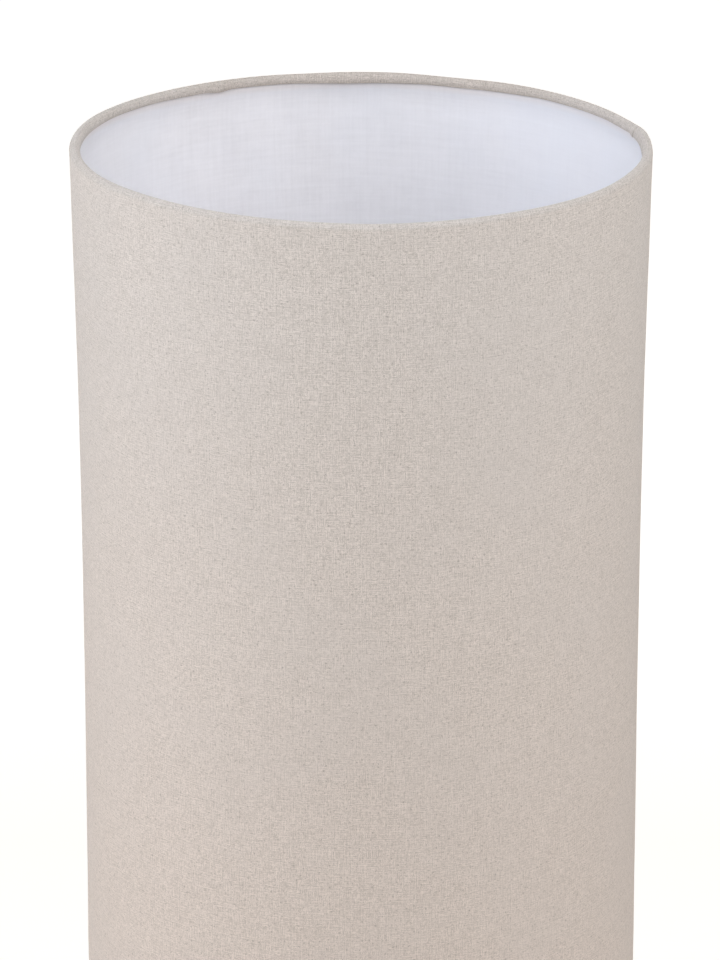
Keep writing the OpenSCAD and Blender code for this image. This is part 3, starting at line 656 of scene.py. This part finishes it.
# Coated, moulded and cast surfaces, by the record's slot: two tones, roughness, the relief's depth and scale
surfaces = {
    "white_metal": {"name": "whiteMetal", "pale": (0.80, 0.80, 0.78, 1), "deep": (0.74, 0.74, 0.72, 1),
                    "rough": 0.42, "relief": 0.00003, "scale": 1400.0, "coat": 0.1},
    "cast_iron": {"name": "castIron", "pale": (0.050, 0.050, 0.052, 1), "deep": (0.028, 0.028, 0.030, 1),
                  "rough": 0.50, "relief": 0.00035, "scale": 420.0, "coat": 0.15, "soil": 0.6},
    "pad_foam": {"name": "padFoam", "pale": (0.045, 0.045, 0.046, 1), "deep": (0.026, 0.026, 0.027, 1),
                 "rough": 0.85, "relief": 0.00018, "scale": 1500.0},
    "bush_rubber": {"name": "bushRubber", "pale": (0.72, 0.72, 0.70, 1), "deep": (0.64, 0.64, 0.62, 1),
                    "rough": 0.60, "relief": 0.00003, "scale": 900.0},
    "holder_plastic": {"name": "holderPlastic", "pale": (0.78, 0.78, 0.75, 1), "deep": (0.73, 0.73, 0.70, 1),
                       "rough": 0.30, "relief": 0.00002, "scale": 1300.0, "coat": 0.2},
    "bulb_plastic": {"name": "bulbPlastic", "pale": (0.80, 0.80, 0.79, 1), "deep": (0.76, 0.76, 0.75, 1),
                     "rough": 0.32, "relief": 0.00001, "scale": 900.0, "coat": 0.2},
    "bulb_insulator": {"name": "insulator", "pale": (0.030, 0.030, 0.030, 1),
                       "deep": (0.020, 0.020, 0.020, 1), "rough": 0.25, "relief": 0.00001, "scale": 900.0,
                       "coat": 0.4},
    "opal_globe": {"name": "opalGlobe", "pale": (0.84, 0.83, 0.80, 1), "deep": (0.81, 0.80, 0.77, 1),
                   "rough": 0.38, "relief": 0.00001, "scale": 1600.0, "coat": 0.25},
    "lead_sheath": {"name": "leadSheath", "pale": (0.76, 0.76, 0.74, 1), "deep": (0.70, 0.70, 0.68, 1),
                    "rough": 0.45, "relief": 0.00002, "scale": 1100.0},
    "terminal_plastic": {"name": "terminalPlastic", "pale": (0.72, 0.70, 0.63, 1),
                         "deep": (0.64, 0.62, 0.55, 1), "rough": 0.55, "relief": 0.00002, "scale": 1100.0},
}
# What these surfaces share: where their two tones and their gloss change, and how far the roughness strays
surfaceWays = {
    "toneFrom": (0.35, 0.65),
    "wearShare": 0.35,
    "glossFrom": (0.3, 0.7),
    "smoother": 0.05,
    "rougher": 0.06,
    "coatRoughness": 0.15,
    "bumpStrength": 0.6,
    "soil": 0.3,
}


def surfaceMaterial(spec):
    ways = surfaceWays
    material, maker, shader, coords = startMaterial(spec["name"])
    marks = useGroup(maker, grainTree, Vector=coords["Object"], Scale=spec["scale"],
                     Soil=spec.get("soil", ways["soil"]))
    colour = maker.mix(maker.spread(marks["Mottle"], *ways["toneFrom"]), spec["deep"], spec["pale"])
    worn = maker.mix(maker.math("MULTIPLY", marks["Wear"], ways["wearShare"]), colour, spec["deep"])
    rough = (spec["rough"] - ways["smoother"], spec["rough"] + ways["rougher"])
    maker.feed(shader["Base Color"], worn)
    maker.feed(shader["Roughness"], maker.spread(marks["Mottle"], *ways["glossFrom"], *rough))
    maker.feed(shader["Coat Weight"], spec.get("coat", 0.0))
    maker.feed(shader["Coat Roughness"], ways["coatRoughness"])
    maker.bump(shader, marks["Height"], ways["bumpStrength"], spec["relief"])
    return material


# Turned metals, by the record's slot
metals = {
    "satin_nickel": {"name": "satinNickel", "pale": (0.66, 0.63, 0.59, 1), "deep": (0.55, 0.52, 0.48, 1),
                     "rough": 0.30, "fineness": 1.0},
    "zinc_steel": {"name": "zincPlate", "pale": (0.64, 0.66, 0.68, 1), "deep": (0.52, 0.54, 0.56, 1),
                   "rough": 0.34, "fineness": 0.4},
    "brass": {"name": "turnedBrass", "pale": (0.80, 0.62, 0.30, 1), "deep": (0.66, 0.48, 0.22, 1),
              "rough": 0.30, "fineness": 0.6},
}
metalWays = {
    "toneFrom": (0.35, 0.65),
    "glossFrom": (0.3, 0.7),
    "smoother": 0.06,
    "rougher": 0.08,
    "bumpStrength": 0.25,
    "bump": 0.00002,
}


def turnedMaterial(spec):
    ways = metalWays
    material, maker, shader, coords = startMaterial(spec["name"])
    brushed = useGroup(maker, brushTree, Vector=coords["Object"], Fineness=spec["fineness"])
    tone = maker.spread(brushed["Tone"], *ways["toneFrom"])
    rough = (spec["rough"] - ways["smoother"], spec["rough"] + ways["rougher"])
    maker.feed(shader["Base Color"], maker.mix(tone, spec["deep"], spec["pale"]))
    maker.feed(shader["Metallic"], 1.0)
    maker.feed(shader["Roughness"], maker.spread(brushed["Tone"], *ways["glossFrom"], *rough))
    maker.bump(shader, brushed["Height"], ways["bumpStrength"], ways["bump"])
    return material


finishes = {"linen": linenMaterial(linen), "lining": liningMaterial(lining)}
finishes.update({slot: surfaceMaterial(spec) for slot, spec in surfaces.items()})
finishes.update({slot: turnedMaterial(spec) for slot, spec in metals.items()})


def finishNodes():
    for part in frame["record"]["subparts"]:
        for slot in nodes[part["node"]].material_slots:
            slot.material = finishes[part["material_slot"]]


finishNodes()
print("stage: materials")


# Wraps a flat grid round the shade: its columns go round from the seam, its rows follow the given ones
def wrapSheet(name, rows, spec):
    rounds = 2 * math.pi * rimRadius
    width = rounds + spec["overlap"]
    columns = spec["columns"]
    bpy.ops.object.select_all(action="DESELECT")
    bpy.ops.mesh.primitive_grid_add(x_subdivisions=columns, y_subdivisions=len(rows) - 1, size=2)
    sheet = bpy.context.object
    sheet.name = name
    mesh = bmesh.new()
    mesh.from_mesh(sheet.data)
    uvs = mesh.loops.layers.uv.verify()
    along = stepsAlong(rows)
    flat = {}
    pressed = {}
    for vertex in mesh.verts:
        column = round((vertex.co.x + 1) / 2 * columns)
        row = round((vertex.co.y + 1) / 2 * (len(rows) - 1))
        x = width * column / columns
        flat[vertex.index] = (x, along[row])
        angle = spec["seamAngle"] - 360 * x / rounds
        under = 1 - soften((x - spec["overlap"]) / spec["ramp"])
        over = soften((x - rounds + spec["ramp"]) / spec["ramp"])
        thinned = 1 - shade["edgeThin"] * soften((abs(rows[row][3]) - shade["turnIn"]) / shade["edgeTurn"])
        pressed[vertex.index] = thinned * (1 - (1 - spec["pressed"]) * max(under, over))
        r, h = onRoll(rows[row], angle, spec["under"] * under + spec["over"] * over)
        around = math.radians(angle)
        vertex.co = settle(Vector((r * math.cos(around), r * math.sin(around), h)), angle, rows[row][4])
    for face in mesh.faces:
        for loop in face.loops:
            loop[uvs].uv = flat[loop.vert.index]
    bmesh.ops.reverse_faces(mesh, faces=mesh.faces)
    mesh.to_mesh(sheet.data)
    mesh.free()
    wall = sheet.vertex_groups.new(name="wall")
    for index, share in pressed.items():
        wall.add([index], share, "REPLACE")
    solid = sheet.modifiers.new("thickness", "SOLIDIFY")
    solid.thickness = spec["thickness"]
    solid.offset = -1
    solid.vertex_group = "wall"
    bpy.ops.object.modifier_apply(modifier="thickness")
    sheet.vertex_groups.clear()
    bpy.ops.object.shade_smooth_by_angle(angle=math.radians(shade["sharpFrom"]))
    return sheet, (width, along[-1])


def makeCover():
    sheet, flat = wrapSheet("linenCover", coverSteps, cover)
    sheet.data.materials.append(finishes["linen"])
    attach(sheet, "shade")
    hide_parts("shade_fabric")
    print("flat size of the cloth", [round(side, 4) for side in flat])


def makeLining():
    sheet, flat = wrapSheet("liningSheet", liningSteps, liner)
    sheet.data.materials.append(finishes["lining"])
    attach(sheet, "shade")
    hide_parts("shade_liner")
    print("flat size of the lining", [round(side, 4) for side in flat])


# Wire hoops, each closed by a butt weld that stands a little proud and is not quite even
hoops = [
    {"name": "topHoopWire", "node": "top_hoop", "tilted": True, "weldAngle": 40},
    {"name": "middleHoopWire", "node": "middle_hoop", "tilted": False, "weldAngle": 150},
    {"name": "bottomHoopWire", "node": "bottom_hoop", "tilted": False, "weldAngle": 200},
    {"name": "carrierRingWire", "node": "carrier_ring", "tilted": False, "weldAngle": 64},
]
hoopWays = {
    "segments": 200,
    "sides": 14,
    "weldSpan": 3.4,           # degrees to each side of a weld in which the mesh is finer
    "weldCuts": 4,
    "swell": 0.00035,          # how far a weld stands proud, and its half length
    "reach": 0.0011,
    "unevenness": 0.35,
    "unevenScale": 1500,
}


def makeHoop(spec):
    ways = hoopWays
    low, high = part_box(spec["node"])
    wire = (high.z - low.z) / 2
    middle = (low.z + high.z) / 2
    ring = high.x - wire
    bpy.ops.object.select_all(action="DESELECT")
    bpy.ops.mesh.primitive_torus_add(location=(0, 0, middle), major_radius=ring, minor_radius=wire,
                                     major_segments=ways["segments"], minor_segments=ways["sides"])
    hoop = bpy.context.object
    hoop.name = spec["name"]
    bpy.ops.object.transform_apply(location=True, rotation=True, scale=True)
    for polygon in hoop.data.polygons:
        polygon.select = abs(gap(turnOf(polygon.center), spec["weldAngle"])) < ways["weldSpan"]
    bpy.ops.object.mode_set(mode="EDIT")
    bpy.ops.mesh.select_mode(type="FACE")
    bpy.ops.mesh.subdivide(number_cuts=ways["weldCuts"])
    bpy.ops.object.mode_set(mode="OBJECT")
    for vertex in hoop.data.vertices:
        turn = turnOf(vertex.co)
        axis = Vector((vertex.co.x, vertex.co.y, 0)).normalized() * ring + Vector((0, 0, middle))
        away = (vertex.co - axis).normalized()
        beside = math.radians(gap(turn, spec["weldAngle"])) * ring
        rough = 1 + ways["unevenness"] * noise.noise(vertex.co * ways["unevenScale"])
        vertex.co = axis + away * (wire + ways["swell"] * rough * math.exp(-(beside / ways["reach"]) ** 2))
        if spec["tilted"]:
            vertex.co = settle(vertex.co, turn, 1.0)
    bpy.ops.object.shade_smooth()
    hoop.data.materials.append(finishes["white_metal"])
    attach(hoop, "shade")
    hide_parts(spec["node"])


# Weld beads where the carrier's spokes meet its ring and its hub
beads = {
    "fineness": 3,
    "ringBead": (0.0030, 0.0034, 0.0019),    # half sizes along the spoke, across it and upwards
    "hubBead": (0.0026, 0.0032, 0.0022),
    "ripple": 0.0003,                        # how deep the weld's ripples are, how far apart, and how uneven
    "ripplePitch": 0.0016,
    "rippleScale": 900,
    "spokeEnd": 0.004,                       # the length at a spoke's outer end that tells its direction
    "apart": 20,                             # degrees that surely lie between two spokes
}


def makeBead(place, turn, halves):
    bpy.ops.object.select_all(action="DESELECT")
    bpy.ops.mesh.primitive_ico_sphere_add(subdivisions=beads["fineness"], radius=1, location=place,
                                          rotation=(0, 0, turn))
    bead = bpy.context.object
    bead.scale = halves
    bpy.ops.object.transform_apply(location=False, rotation=False, scale=True)
    for vertex in bead.data.vertices:
        ripples = math.sin(vertex.co.y * 2 * math.pi / beads["ripplePitch"]) * 0.5
        ripples += noise.noise(vertex.co * beads["rippleScale"])
        vertex.co += vertex.co.normalized() * beads["ripple"] * ripples
    bpy.ops.object.transform_apply(location=True, rotation=True, scale=False)
    return bead


def makeWelds():
    ringLow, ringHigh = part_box("carrier_ring")
    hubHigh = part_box("carrier_hub")[1]
    middle = (ringLow.z + ringHigh.z) / 2
    ringIn = ringHigh.x - (ringHigh.z - ringLow.z)
    made = []
    for turn in spokeTurns():
        for reach, halves in ((ringIn, beads["ringBead"]), (hubHigh.x, beads["hubBead"])):
            place = (reach * math.cos(turn), reach * math.sin(turn), middle)
            made.append(makeBead(place, turn, halves))
    bpy.ops.object.select_all(action="DESELECT")
    for bead in made:
        bead.select_set(True)
    bpy.context.view_layer.objects.active = made[0]
    bpy.ops.object.join()
    welds = bpy.context.object
    welds.name = "spokeWelds"
    bpy.ops.object.transform_apply(location=True, rotation=True, scale=True)
    bpy.ops.object.shade_smooth()
    welds.data.materials.append(finishes["white_metal"])
    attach(welds, "shade")


# The spokes' directions in radians, each from the middle of its outer end
def spokeTurns():
    points = [vertex.co for vertex in nodes["carrier_spokes"].data.vertices]
    reach = max(math.hypot(point.x, point.y) for point in points)
    ends = [turnOf(point) for point in points if math.hypot(point.x, point.y) > reach - beads["spokeEnd"]]
    found = []
    for turn in ends:
        if all(abs(gap(turn, other)) > beads["apart"] for other in found):
            found.append(turn)
    middles = []
    for turn in found:
        near = [gap(end, turn) for end in ends if abs(gap(end, turn)) < beads["apart"]]
        middles.append(math.radians(turn + (max(near) + min(near)) / 2))
    return middles


makeCover()
makeLining()
for spec in hoops:
    makeHoop(spec)
makeWelds()
print("stage: shade")


studio = {
    "floorSize": 40.0,
    "floorPale": (0.86, 0.84, 0.81, 1),
    "floorDrop": 0.0004,       # keeps the floor clear of the pad
    "seeThrough": 0.012,       # a ray shorter than this passes the floor, so that the pad's underside is lit
    "glowNear": 0.31,          # the floor's own light near the lamp and far from it, and where it changes
    "glowFar": 0.70,
    "glowRun": (0.8, 2.6),
    "worldForObject": 0.41,
    "worldTone": (1.0, 0.96, 0.89, 1),
    "aimHeight": 1.13,
    # turn from the front towards the viewer's right, height angle, distance, size, watts, colour
    "lamps": [
        {"name": "keyLeft", "turn": -80, "rise": 18, "far": 1.6, "size": 1.1, "power": 10.0,
         "colour": (0.76, 0.81, 1.0)},
        {"name": "lowLeft", "turn": -80, "rise": 6, "far": 1.6, "size": 1.1, "power": 4.8,
         "colour": (1.0, 0.95, 0.74)},
        {"name": "upperLeft", "turn": -60, "rise": 45, "far": 1.7, "size": 1.1, "power": 3.1,
         "colour": (0.78, 0.90, 1.0)},
        {"name": "front", "turn": 0, "rise": 34, "far": 1.8, "size": 1.1, "power": 14.3,
         "colour": (0.93, 0.95, 1.0)},
        {"name": "fillRight", "turn": 75, "rise": 18, "far": 1.6, "size": 1.1, "power": 3.9,
         "colour": (1.0, 1.0, 1.0)},
        {"name": "upperRight", "turn": 75, "rise": 35, "far": 1.7, "size": 1.1, "power": 7.8,
         "colour": (0.93, 0.94, 1.0)},
        {"name": "rear", "turn": 180, "rise": 8, "far": 1.7, "size": 1.2, "power": 6.3,
         "colour": (1.0, 1.0, 1.0)},
    ],
}


def seenRay(maker):
    rays = maker.add("ShaderNodeLightPath").outputs
    either = maker.math("MAXIMUM", rays["Is Camera Ray"], rays["Is Glossy Ray"])
    return maker.math("MAXIMUM", either, rays["Is Transmission Ray"])


def addFloor(spec):
    bpy.ops.object.select_all(action="DESELECT")
    bpy.ops.mesh.primitive_plane_add(size=spec["floorSize"], location=(0, 0, -spec["floorDrop"]))
    floor = bpy.context.object
    floor.name = "studioFloor"
    bpy.ops.object.transform_apply(location=True, rotation=True, scale=True)
    material = bpy.data.materials.new("studioFloor")
    material.use_nodes = True
    material.node_tree.nodes.clear()
    maker = Tree(material.node_tree)
    pale = maker.add("ShaderNodeBsdfDiffuse", {"Color": spec["floorPale"]})
    spot = maker.add("ShaderNodeTexCoord").outputs["Object"]
    away = maker.add("ShaderNodeVectorMath", {0: spot}, operation="LENGTH").outputs[1]
    level = maker.spread(away, *spec["glowRun"], spec["glowNear"], spec["glowFar"])
    glow = maker.add("ShaderNodeEmission", {"Strength": maker.math("MULTIPLY", seenRay(maker), level)})
    both = maker.add("ShaderNodeAddShader", {0: pale.outputs[0], 1: glow.outputs[0]})
    below = maker.add("ShaderNodeNewGeometry").outputs["Backfacing"]
    rayLength = maker.add("ShaderNodeLightPath").outputs["Ray Length"]
    close = maker.math("LESS_THAN", rayLength, spec["seeThrough"])
    clear = maker.add("ShaderNodeBsdfTransparent")
    seen = maker.add("ShaderNodeMixShader", {0: maker.math("MAXIMUM", below, close), 1: both.outputs[0],
                                             2: clear.outputs[0]})
    maker.add("ShaderNodeOutputMaterial", {"Surface": seen.outputs[0]})
    floor.data.materials.append(material)


def addWorld(spec):
    world = bpy.data.worlds.new("studioWorld")
    world.use_nodes = True
    world.node_tree.nodes.clear()
    maker = Tree(world.node_tree)
    seen = seenRay(maker)
    unseen = spec["worldForObject"]
    level = maker.math("ADD", unseen, maker.math("MULTIPLY", seen, 1.0 - unseen))
    tone = maker.mix(seen, spec["worldTone"], (1, 1, 1, 1))
    sky = maker.add("ShaderNodeBackground", {"Color": tone, "Strength": level})
    maker.add("ShaderNodeOutputWorld", {"Surface": sky.outputs[0]})
    bpy.context.scene.world = world


def addLamp(spec, aim):
    turn, rise = math.radians(spec["turn"]), math.radians(spec["rise"])
    away = Vector((math.sin(turn) * math.cos(rise), -math.cos(turn) * math.cos(rise), math.sin(rise)))
    place = Vector((0, 0, aim)) + away * spec["far"]
    bpy.ops.object.light_add(type="AREA", location=place, rotation=away.to_track_quat("Z", "Y").to_euler())
    light = bpy.context.object
    light.name = spec["name"]
    light.data.size = spec["size"]
    light.data.energy = spec["power"]
    light.data.color = spec["colour"]
    light.visible_camera = False


addFloor(studio)
addWorld(studio)
for lamp in studio["lamps"]:
    addLamp(lamp, studio["aimHeight"])
bpy.context.scene.view_settings.view_transform = "Standard"
print("stage: studio")
